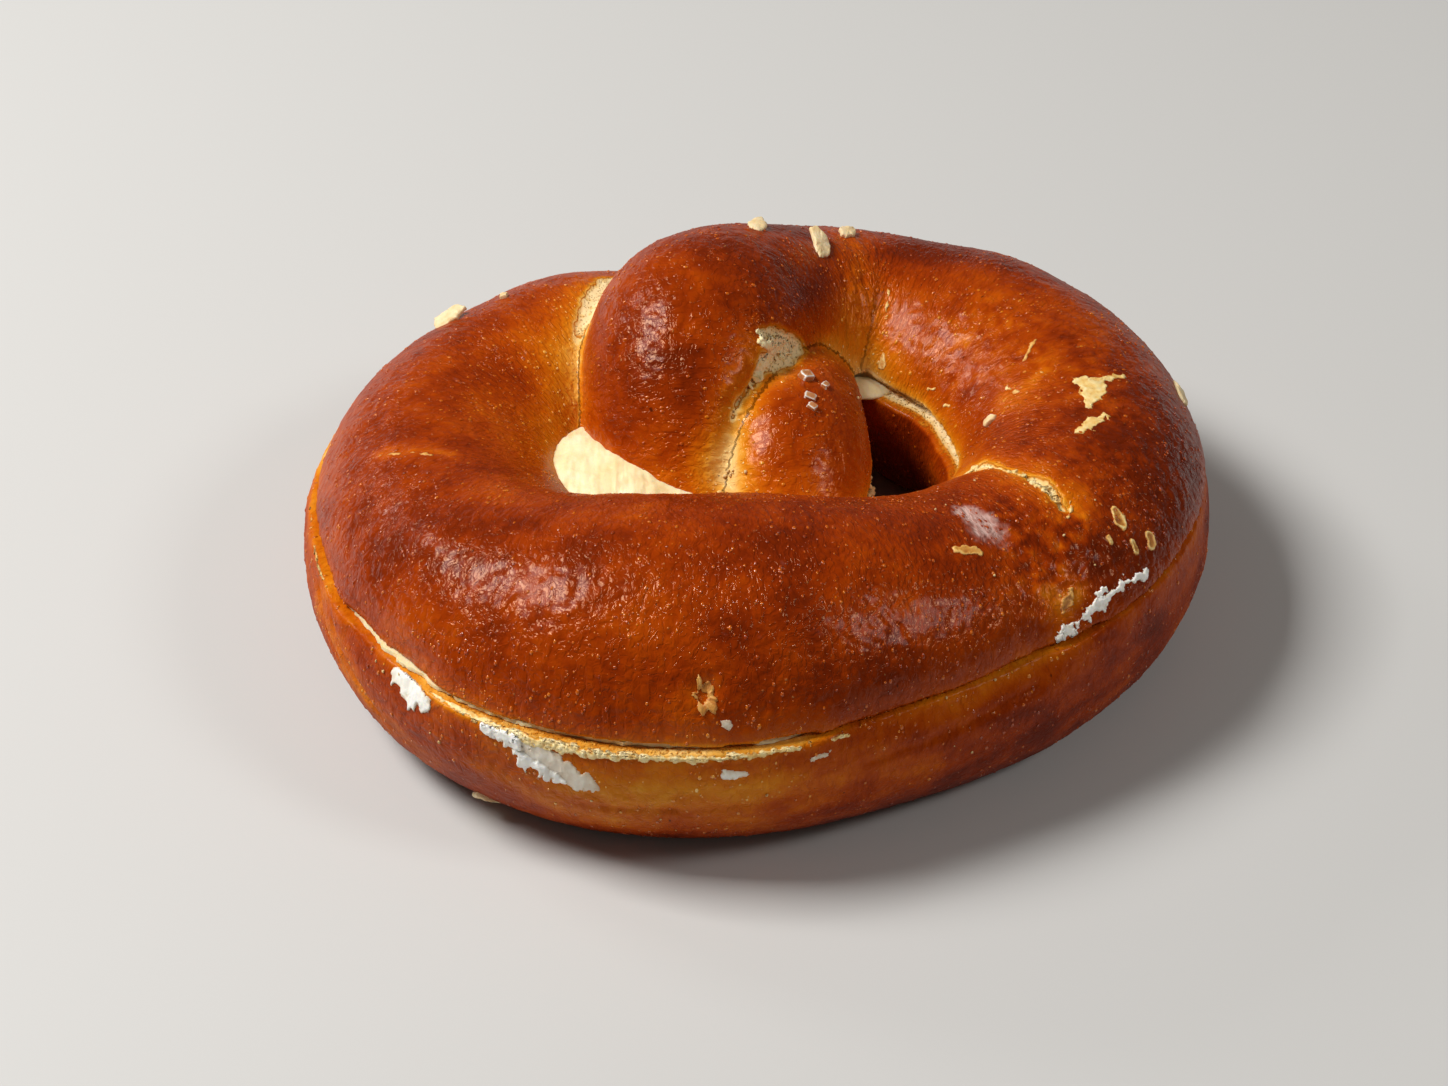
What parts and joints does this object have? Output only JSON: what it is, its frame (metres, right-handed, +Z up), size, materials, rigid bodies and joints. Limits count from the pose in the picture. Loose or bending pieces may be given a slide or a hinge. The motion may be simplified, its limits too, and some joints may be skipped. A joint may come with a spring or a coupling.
{
  "type": "butter pretzel",
  "caption": "Thick twisted soft pretzel with a glossy browned crust, cut level and filled with a layer of butter.",
  "frame": {"origin": "on the surface that the pretzel lies on, under the middle of its bounding box", "axes": "+Z up, the thick belly of the rope towards -Y, the crossing of the arms towards +Y, +X to the right as seen from the belly"},
  "size_m": [0.1325, 0.1174, 0.0462],
  "materials": {
    "crust": "glossy, finely wrinkled baked crust",
    "butter": "soft satin"
  },
  "bodies": {
    "root": {"bread_top": "crust", "bread_bottom": "crust", "butter": "butter"}
  },
  "joints": []
}
